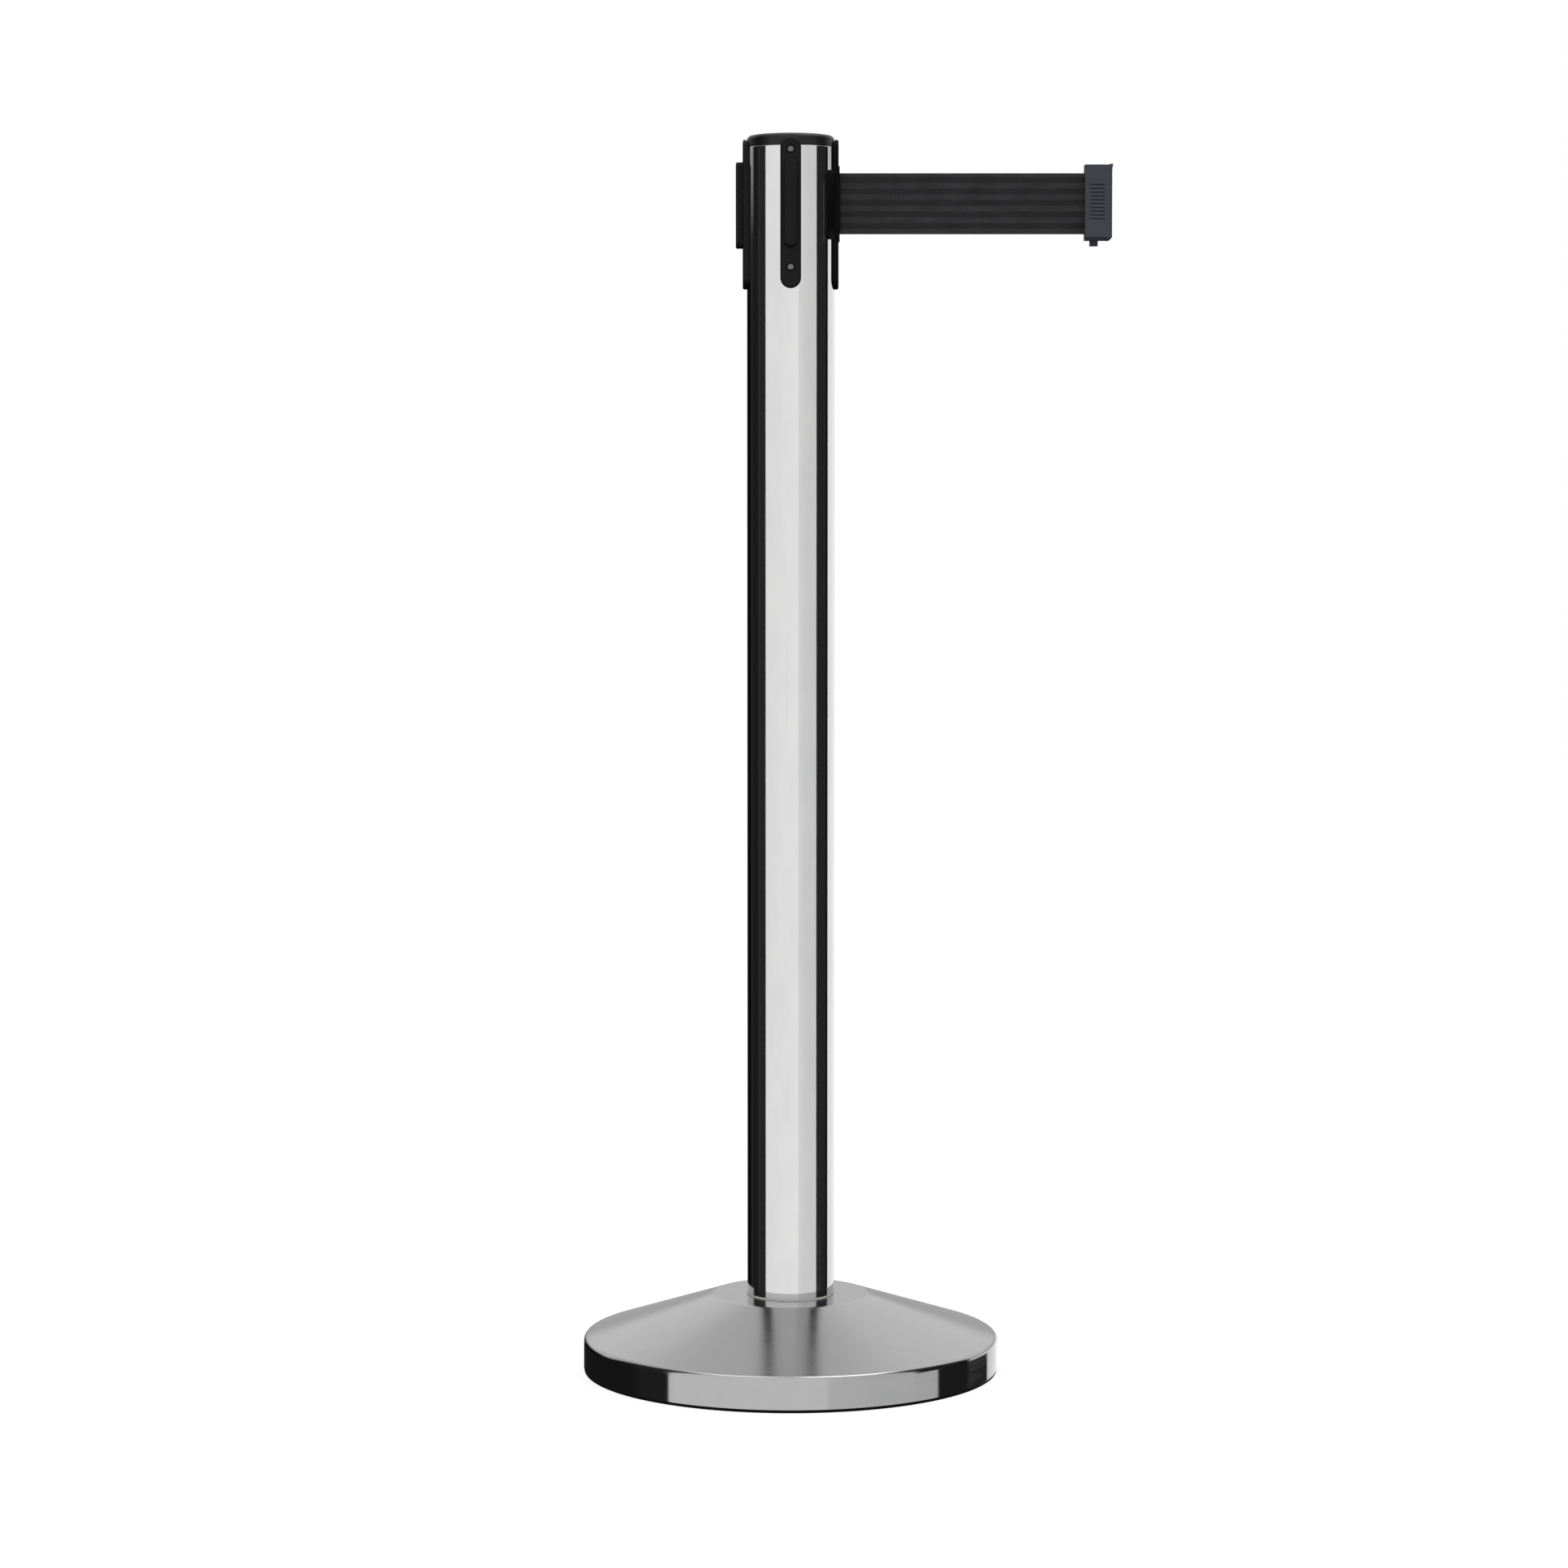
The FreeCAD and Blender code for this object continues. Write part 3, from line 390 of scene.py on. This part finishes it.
def sand_cast():
    """Painted grey iron with the grain of the sand mould."""
    f = Finish("sand_cast", 0.05, 0.7, specular=0.4)
    sand = f.noise(f.place, scale=700, detail=5, roughness=0.65)
    lumps = f.noise(f.place, scale=90, detail=3)
    f.set("Base Color", f.mix(f.remap(sand, 0.35, 0.7), (0.035, 0.036, 0.038), (0.075, 0.074, 0.072)))
    f.set("Roughness", f.remap(lumps, 0.3, 0.7, 0.62, 0.85))
    f.bump(lumps, 0.5 * MM)
    f.bump(sand, 0.25 * MM)
    return f


def floor_rubber():
    """Matt black rubber with a dusty, slightly pitted skin."""
    f = Finish("floor_rubber", 0.006, 0.85, specular=0.08)
    pits = f.noise(f.place, scale=1300, detail=3)
    dust = f.noise(f.place, scale=160, detail=5, roughness=0.7)
    dusty = f.remap(dust, 0.45, 0.75, 0, 0.7)
    f.set("Base Color", f.mix(dusty, (0.004, 0.004, 0.0043), (0.012, 0.0118, 0.0115)))
    f.set("Roughness", f.remap(dust, 0.3, 0.7, 0.72, 0.9))
    f.bump(pits, 0.05 * MM)
    return f


def webbing(belt_top):
    """Black polyester webbing: raised ribbed bands, a herringbone ground and tight selvedges, with painted
    shade in the weave's hollows.
    """
    f = Finish("webbing", 0.02, 0.8, specular=0.2)
    x, _, z = f.axes(f.place)
    depth = f.math("SUBTRACT", belt_top, z)
    below_first = f.math("SUBTRACT", depth, BAND_FIRST - BAND_PITCH / 2)
    cycle = f.math("FRACT", f.math("DIVIDE", below_first, BAND_PITCH))
    off_centre = f.math("MULTIPLY", f.math("ABSOLUTE", f.math("SUBTRACT", cycle, 0.5)), BAND_PITCH)
    edge = BAND_W / 2
    band = f.remap(off_centre, edge - 0.3 * MM, edge + 0.3 * MM, 1, 0, smooth=True)
    fuzz = f.noise(f.place, scale=2600, detail=3, roughness=0.7)
    wobble = f.math("MULTIPLY", f.noise(f.place, scale=130, detail=2), 0.9 * MM)
    along = f.math("ADD", x, wobble)
    ribs = f.math("SINE", f.math("MULTIPLY", along, 2 * math.pi / RIB_PITCH))
    picks = f.math("SINE", f.math("MULTIPLY", z, 2 * math.pi / PICK_PITCH))
    row = f.math("FRACT", f.math("DIVIDE", z, HERRINGBONE))
    fold = f.math("ABSOLUTE", f.math("SUBTRACT", row, 0.5))
    slant = f.math("ADD", along, f.math("MULTIPLY", fold, TWILL_LEAN))
    twill = f.math("SINE", f.math("MULTIPLY", slant, 2 * math.pi / TWILL_PITCH))
    ribbed = f.math("ADD", f.math("MULTIPLY", ribs, 0.4), f.math("MULTIPLY", picks, 0.1))
    ground = f.math("ADD", f.math("MULTIPLY", twill, 0.28), f.math("MULTIPLY", picks, 0.22))
    in_band = f.math("MULTIPLY", ribbed, band)
    between = f.math("MULTIPLY", ground, f.math("SUBTRACT", 1.0, band))
    weave = f.math("ADD", f.math("ADD", in_band, between), 0.5)
    patch = f.noise(f.scaled(f.place, (55, 55, 210)), detail=3)
    shade = f.math("ADD", f.math("MULTIPLY", fuzz, 0.5), f.math("MULTIPLY", patch, 0.5))
    dark = f.mix(f.remap(shade, 0.35, 0.65), (0.015, 0.015, 0.0163), (0.03, 0.03, 0.0325))
    pale = f.mix(f.remap(shade, 0.35, 0.65), (0.027, 0.027, 0.029), (0.052, 0.052, 0.0555))
    cloth = f.mix(band, dark, pale)
    # Painted shade: the colour darkens towards the low parts of the weave, its hollows between the threads.
    f.set("Base Color", f.mix(f.remap(weave, 0.1, 0.55, 0.6, 0), cloth, (0.0105, 0.0105, 0.0113)))
    f.set("Roughness", f.remap(fuzz, 0.3, 0.7, 0.7, 0.9))
    f.set("Sheen Weight", 0.12)
    f.set("Sheen Roughness", 0.4)
    f.bump(weave, 0.09 * MM)
    f.bump(fuzz, 0.03 * MM)
    return f


# ---- turned pieces ----
def corner_points(before, corner, after, radius):
    """The arc of this radius in a corner of an outline, as points."""
    if not radius:
        return [corner]
    back = (before - corner).normalized()
    ahead = (after - corner).normalized()
    half = back.angle(ahead) / 2
    centre = corner + (back + ahead).normalized() * (radius / math.sin(half))
    start = corner + back * (radius / math.tan(half)) - centre
    end = corner + ahead * (radius / math.tan(half)) - centre
    bend = start.angle(end)
    count = max(4, math.ceil(math.degrees(bend) / ARC_STEP_DEG))
    points = []
    for i in range(count + 1):
        share = i / count
        a = math.sin((1 - share) * bend) / math.sin(bend)
        b = math.sin(share * bend) / math.sin(bend)
        points.append(centre + start * a + end * b)
    return points


def outline_points(outline, levels):
    """The points of a closed outline, with extra ones near each corner and at these heights."""
    corners = [Vector((r, z)) for r, z, _ in outline]
    arcs = []
    for i, (_, _, radius) in enumerate(outline):
        arcs.append(corner_points(corners[i - 1], corners[i], corners[(i + 1) % len(corners)], radius))
    points = []
    for i, arc in enumerate(arcs):
        points += arc
        start = arc[-1]
        end = arcs[(i + 1) % len(arcs)][0]
        run = end - start
        if start.x < 1e-6 and end.x < 1e-6:
            continue
        shares = [GUARD / run.length, 1 - GUARD / run.length] if run.length > 4 * GUARD else []
        shares += [(z - start.y) / run.y for z in levels if abs(run.y) > 1e-6 and abs(run.x) < 1e-6]
        points += [start + run * share for share in sorted(shares) if 0 < share < 1]
    return points


def turned_mesh(name, outline, levels=()):
    """A solid of revolution about Z, in quads. The outline is closed, of (radius, height, corner radius)."""
    mesh = bmesh.new()
    rings = []
    for point in outline_points(outline, levels):
        count = STEPS if point.x > 1e-6 else 1
        angles = [2 * math.pi * k / count for k in range(count)]
        rings.append([
            mesh.verts.new((point.x * MM * math.cos(a), point.x * MM * math.sin(a), point.y * MM))
            for a in angles
        ])
    for one, two in zip(rings, rings[1:] + rings[:1]):
        for k in range(STEPS if len(one) + len(two) > 2 else 0):
            ahead = k + 1
            corners = (one[k % len(one)], one[ahead % len(one)], two[ahead % len(two)], two[k % len(two)])
            mesh.faces.new(list(dict.fromkeys(corners)))
    bmesh.ops.recalc_face_normals(mesh, faces=mesh.faces)
    return new_object(name, mesh)


def new_object(name, mesh):
    """An object of this bmesh, smooth but for its sharp corners."""
    data = bpy.data.meshes.new(name)
    mesh.to_mesh(data)
    mesh.free()
    made = bpy.data.objects.new(name, data)
    bpy.context.scene.collection.objects.link(made)
    smooth(made)
    return made


def skin(mesh, rings):
    """Faces round and along these closed rings of vertices, and one at each end."""
    count = len(rings[0])
    for one, two in zip(rings, rings[1:]):
        for k in range(count):
            mesh.faces.new((one[k], one[(k + 1) % count], two[(k + 1) % count], two[k]))
    mesh.faces.new(rings[0])
    mesh.faces.new(list(reversed(rings[-1])))
    bmesh.ops.recalc_face_normals(mesh, faces=mesh.faces)


def smooth(piece):
    piece.data.shade_smooth()
    piece.data.set_sharp_from_angle(angle=math.radians(SHARP_DEG))


def rod(radius, start, end):
    """A cutter's cylinder between two points, in mm."""
    mesh = bmesh.new()
    span = (Vector(end) - Vector(start)) * MM
    bmesh.ops.create_cone(
        mesh, cap_ends=True, segments=HOLE_STEPS, radius1=radius * MM, radius2=radius * MM, depth=span.length)
    cutter = new_object("cutter", mesh)
    cutter.rotation_mode = "QUATERNION"
    cutter.rotation_quaternion = span.to_track_quat("Z", "Y")
    cutter.location = Vector(start) * MM + span / 2
    return cutter


def brick(low, high):
    """A cutter's box between two corners, in mm."""
    mesh = bmesh.new()
    bmesh.ops.create_cube(mesh, size=1.0)
    size = (Vector(high) - Vector(low)) * MM
    bmesh.ops.scale(mesh, vec=size, verts=mesh.verts)
    cutter = new_object("cutter", mesh)
    cutter.location = (Vector(low) + Vector(high)) * MM / 2
    return cutter


def cut(piece, cutters):
    """Takes the cutters out of the piece, and removes them."""
    for cutter in cutters:
        tool = piece.modifiers.new("cut", "BOOLEAN")
        tool.object = cutter
        tool.solver = "EXACT"
    shape = piece.evaluated_get(bpy.context.evaluated_depsgraph_get())
    before = piece.data
    piece.data = bpy.data.meshes.new_from_object(shape)
    piece.data.name = piece.name
    piece.modifiers.clear()
    bpy.data.meshes.remove(before)
    for cutter in cutters:
        bpy.data.meshes.remove(cutter.data)
    smooth(piece)


def side_holes(radius, height):
    """Cutters for the four radial screw holes at this height."""
    ways = [(1, 0), (0, 1), (-1, 0), (0, -1)]
    return [rod(radius, (20 * x, 20 * y, height), (40 * x, 40 * y, height)) for x, y in ways]


def stand_for(piece, node):
    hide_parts(node)
    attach(piece, "post")
    return piece


def make_tube():
    tube = turned_mesh("tube_wall", [
        (TUBE_BORE_R, TUBE_FOOT_Z, 0),
        (TUBE_R, TUBE_FOOT_Z, 0.4),
        (TUBE_R, TUBE_TOP_Z, 0.5),
        (TUBE_BORE_R, TUBE_TOP_Z, 0),
    ], TUBE_LEVELS)
    window = brick((20, -WINDOW_HALF_Y, WINDOW_LOW_Z), (40, WINDOW_HALF_Y, WINDOW_HIGH_Z))
    cut(tube, [window] + side_holes(TUBE_HOLE_R, LOW_SCREW_Z) + side_holes(TUBE_HOLE_R, HIGH_SCREW_Z))
    return stand_for(tube, "post_tube")


def make_cover():
    slope = (DISC_Z - RIM_TOP_Z) / (RIM_R - DISC_R)
    drop = SHEET_T * math.hypot(1, slope)
    inner_r = RIM_R - SHEET_T
    under_z = DISC_Z - SHEET_T
    cover = turned_mesh("cover_shell", [
        (BOLT_HOLE_R, DISC_Z, 0),
        (DISC_R, DISC_Z, DISC_ROUND),
        (RIM_R, RIM_TOP_Z, RIM_ROUND),
        (RIM_R, RIM_LOW_Z, 0.6),
        (inner_r, RIM_LOW_Z, 0),
        (inner_r, DISC_Z - slope * (inner_r - DISC_R) - drop, RIM_ROUND - SHEET_T),
        (DISC_R - (drop - SHEET_T) / slope, under_z, DISC_ROUND - SHEET_T),
        (BOLT_HOLE_R, under_z, 0),
    ])
    return stand_for(cover, "base_cover")


def make_cap():
    cap = turned_mesh("cap_dome", [
        (0, CAP_CEILING_Z, 0),
        (CAP_BORE_R, CAP_CEILING_Z, 2.0),
        (CAP_BORE_R, CAP_LOW_Z, 0),
        (CAP_SKIRT_R, CAP_LOW_Z, 0.6),
        (CAP_SKIRT_R, TUBE_TOP_Z, 0),
        (CAP_R, TUBE_TOP_Z, 0.3),
        (CAP_R, CAP_EDGE_Z, CAP_EDGE_ROUND),
        (SHOULDER_R, SHOULDER_Z, SHOULDER_ROUND),
        (0, CAP_TOP_Z, 0),
    ])
    cut(cap, side_holes(CAP_HOLE_R, HIGH_SCREW_Z))
    return stand_for(cap, "top_cap")


def make_floor_ring():
    ring = turned_mesh("rubber_ring", [
        (RING_HOLE_R, 0, RING_EDGE),
        (RING_R, 0, RING_EDGE),
        (RING_R, RIM_LOW_Z, 0),
        (LIP_R, RIM_LOW_Z, 0),
        (LIP_R, LIP_Z, 0),
        (LIP_HOLE_R, LIP_Z, 0),
        (LIP_HOLE_R, RING_FLOOR_Z, 0),
        (RING_HOLE_R, RING_FLOOR_Z, 0),
    ])
    return stand_for(ring, "floor_ring")


# ---- belt outside the post ----
def belt_profile(low, high):
    """The belt's closed cross-section, (y, z) points: two banded faces and two rolled selvedges."""
    half = WEB_T / 2
    face = []
    for i in range(FACE_STEPS + 1):
        z = low + SELVEDGE_R + (high - low - 2 * SELVEDGE_R) * i / FACE_STEPS
        place = ((high - z - BAND_FIRST) / BAND_PITCH + 0.5) % 1 - 0.5
        off = abs(place) * BAND_PITCH
        rise = min(1.0, max(0.0, (BAND_W / 2 + 0.25 * MM - off) / (0.5 * MM)))
        rise = rise * rise * (3 - 2 * rise)
        face.append((half - BAND_RAISE * (1 - rise), z))
    roll = []
    for i in range(1, 8):
        a = math.pi / 2 - math.pi * i / 8
        roll.append((SELVEDGE_R * math.sin(a), high - SELVEDGE_R + SELVEDGE_R * math.cos(a)))
    front = [(-y, z) for y, z in reversed(face)]
    foot = [(-y, low + high - z) for y, z in roll]
    return face + roll + front + foot


def belt_route(start_x):
    """The belt's centreline seen from above: straight out to the clip, then once round its pin."""
    turn_r = PIN_R + PIN_GAP + WEB_T / 2
    tip = PIN_X - LOOP_TIP
    straight = STRAIGHT_STEPS
    points = [(start_x + (tip - start_x) * i / straight, 0.0) for i in range(straight + 1)]
    lean = math.asin(turn_r / (PIN_X - tip))
    first = -math.pi / 2 - lean
    last = math.pi / 2 + lean
    reach = math.sqrt((PIN_X - tip) ** 2 - turn_r ** 2)
    for i in range(1, 5):
        share = i / 5
        points.append((tip + reach * math.cos(lean) * share, -reach * math.sin(lean) * share))
    for i in range(LOOP_STEPS + 1):
        a = first + (last - first) * i / LOOP_STEPS
        points.append((PIN_X + turn_r * math.cos(a), turn_r * math.sin(a)))
    end = points[-1]
    for i in range(1, 4):
        share = i / 5
        points.append((end[0] + (tip - end[0]) * share, end[1] * (1 - share) + WEB_T * share))
    return points


def make_strap():
    """The woven belt from the post's slot into the clip."""
    low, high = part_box("belt_strap")
    profile = belt_profile(low.z, high.z)
    route = belt_route(low.x)
    mesh = bmesh.new()
    rings = []
    for i, (x, y) in enumerate(route):
        before = route[max(i - 1, 0)]
        after = route[min(i + 1, len(route) - 1)]
        run = math.hypot(after[0] - before[0], after[1] - before[1])
        side = (-(after[1] - before[1]) / run, (after[0] - before[0]) / run)
        rings.append([mesh.verts.new((x + side[0] * off, y + side[1] * off, z)) for off, z in profile])
    skin(mesh, rings)
    data = bpy.data.meshes.new("woven_belt")
    mesh.to_mesh(data)
    mesh.free()
    for face in data.polygons:
        face.use_smooth = len(face.vertices) == 4
    strap = bpy.data.objects.new("woven_belt", data)
    bpy.context.scene.collection.objects.link(strap)
    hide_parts("belt_strap")
    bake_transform(strap)
    return strap


# ---- spring above the release tab ----
def make_tab_spring():
    """The coil spring that the tab presses against the clip's rib, carried with the tab."""
    low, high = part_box("tab_spring")
    centre = (low + high) / 2
    mean_r = (high.x - low.x) / 2 - SPRING_WIRE_R
    foot_z = low.z + SPRING_WIRE_R
    rise = high.z - low.z - 2 * SPRING_WIRE_R
    steps = SPRING_TURNS * TURN_STEPS
    mesh = bmesh.new()
    rings = []
    for i in range(steps + 1):
        turn = 2 * math.pi * SPRING_TURNS * i / steps
        ring = []
        for k in range(WIRE_STEPS):
            slope = 2 * math.pi * k / WIRE_STEPS
            r = mean_r + SPRING_WIRE_R * math.cos(slope)
            z = foot_z + rise * i / steps + SPRING_WIRE_R * math.sin(slope)
            ring.append(mesh.verts.new((centre.x + r * math.cos(turn), centre.y + r * math.sin(turn), z)))
        rings.append(ring)
    skin(mesh, rings)
    spring = new_object("coil_spring", mesh)
    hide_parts("tab_spring")
    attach(spring, "tab")
    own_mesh(spring)
    return spring


def finish_all(nodes, made):
    belt_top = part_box("belt_strap")[1].z
    black = moulded("black_moulding", (0.0052, 0.0052, 0.0056), 0.42, 0.14)
    # The belt outlet's moulding is a darker copy of the black one: its lower colour is painted shade, while
    # its rougher, less glossy skin is real.
    outlet = moulded("shaded_outlet_moulding", (0.004, 0.004, 0.0043), 0.6, 0.07)
    cap = moulded("cap_moulding", (0.0075, 0.0073, 0.007), 0.36, 0.3)
    grey = moulded("clip_moulding", (0.047, 0.0525, 0.069), 0.48, 0.25)
    frame_nylon = moulded("frame_nylon", (0.03, 0.03, 0.032), 0.55, 0.4)
    acetal = moulded("acetal", (0.62, 0.61, 0.57), 0.35, 0.5, light=1.05)
    gasket = moulded("gasket_nylon", (0.6, 0.585, 0.54), 0.5, 0.4)
    screws = worked_metal("nickel_screws", (0.2, 0.195, 0.185), 0.2, 3000, 0.004)
    zinc = worked_metal("zinc_steel", (0.55, 0.56, 0.57), 0.33, 1500, 0.008, stain=(0.46, 0.45, 0.36))
    bronze = worked_metal("bush_bronze", (0.58, 0.37, 0.2), 0.38, 2200, 0.01)
    spring = worked_metal("spring_steel", (0.2, 0.215, 0.26), 0.3, 1800, 0.003, stain=(0.12, 0.13, 0.2))
    web = webbing(belt_top)
    finishes = {
        black: ["receiver_front", "receiver_left", "receiver_back"],
        outlet: ["belt_outlet"],
        grey: ["clip_front_shell", "clip_back_shell", "release_tab"],
        frame_nylon: ["frame_lower_plate", "frame_upper_plate", "spring_arbor"],
        acetal: ["belt_drum", "guide_roller_a", "guide_roller_b"],
        gasket: ["foot_gasket"],
        screws: ["plate_screws", "clip_screws"],
        zinc: ["base_bolt", "base_washer", "post_plug", "drum_axle", "guide_pins", "frame_pillars",
               "axle_e_clips", "belt_pin"],
        bronze: ["drum_bushes", "thrust_washer"],
        spring: ["return_spring"],
        sand_cast(): ["base_weight"],
        web: ["belt_coil", "belt_lead"],
    }
    for finish, names in finishes.items():
        finish.put(*[nodes[name] for name in names])
    web.put(made["strap"])
    spring.put(made["spring"])
    cap.put(made["cap"])
    polished_tube().put(made["tube"])
    spun_cover().put(made["cover"])
    floor_rubber().put(made["floor_ring"])


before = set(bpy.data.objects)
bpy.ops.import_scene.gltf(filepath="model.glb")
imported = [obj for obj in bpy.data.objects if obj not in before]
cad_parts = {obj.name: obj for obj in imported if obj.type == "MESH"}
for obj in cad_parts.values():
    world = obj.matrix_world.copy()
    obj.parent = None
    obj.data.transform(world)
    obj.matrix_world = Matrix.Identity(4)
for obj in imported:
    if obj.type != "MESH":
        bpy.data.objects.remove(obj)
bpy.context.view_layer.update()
make_camera()
bpy.context.scene.view_settings.view_transform = "Standard"
studio_world()
make_floor()
soft_light("right_light", (LAMP_X, LAMP_Y, LAMP_Z), LAMP_AIM, LAMP_SIZE, 16.0)
soft_light("left_light", (-LAMP_X, LAMP_Y, LAMP_Z), LAMP_AIM, LAMP_SIZE, 8.0)
finish_all(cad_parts, {
    "strap": make_strap(),
    "spring": make_tab_spring(),
    "tube": make_tube(),
    "cover": make_cover(),
    "cap": make_cap(),
    "floor_ring": make_floor_ring(),
})
